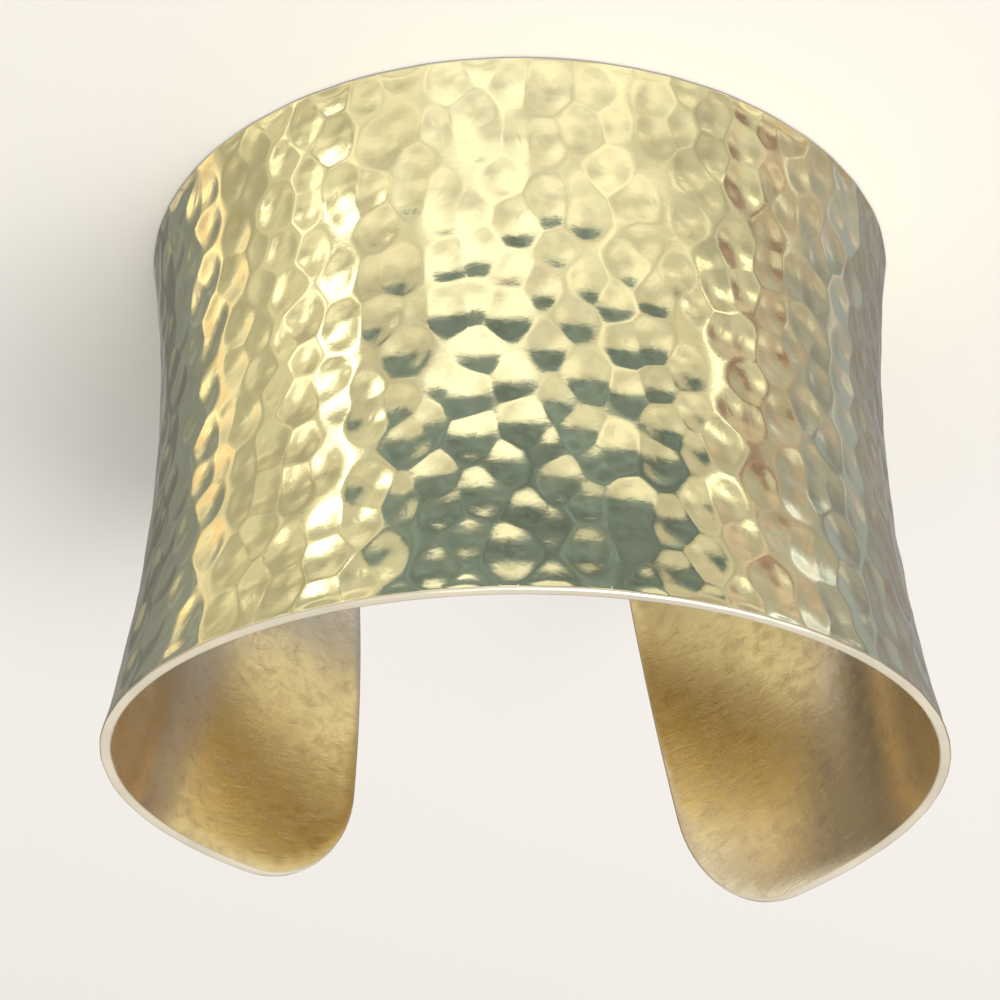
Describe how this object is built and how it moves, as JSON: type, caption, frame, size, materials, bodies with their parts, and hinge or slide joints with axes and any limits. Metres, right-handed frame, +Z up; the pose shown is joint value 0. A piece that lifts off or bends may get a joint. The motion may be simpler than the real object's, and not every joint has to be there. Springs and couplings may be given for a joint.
{
  "type": "cuff bracelet",
  "caption": "Wide open cuff bracelet bent from one metal sheet, hammered outside and smooth inside, with flared rims, rounded end corners and a mouth to slip over a wrist.",
  "frame": {"origin": "on the surface that the lower rim rests on, below the middle of the cuff's bounding box", "axes": "+Z up along the wrist, from the lower rim to the upper one; the back faces -Y, the mouth between the free ends faces +Y, and +X is across the cuff"},
  "size_m": [0.0616, 0.0556, 0.045],
  "materials": {
    "gold_sheet": "polished and hammered outside, satin inside"
  },
  "bodies": {
    "root": {"cuff_band": "gold_sheet"}
  },
  "joints": []
}
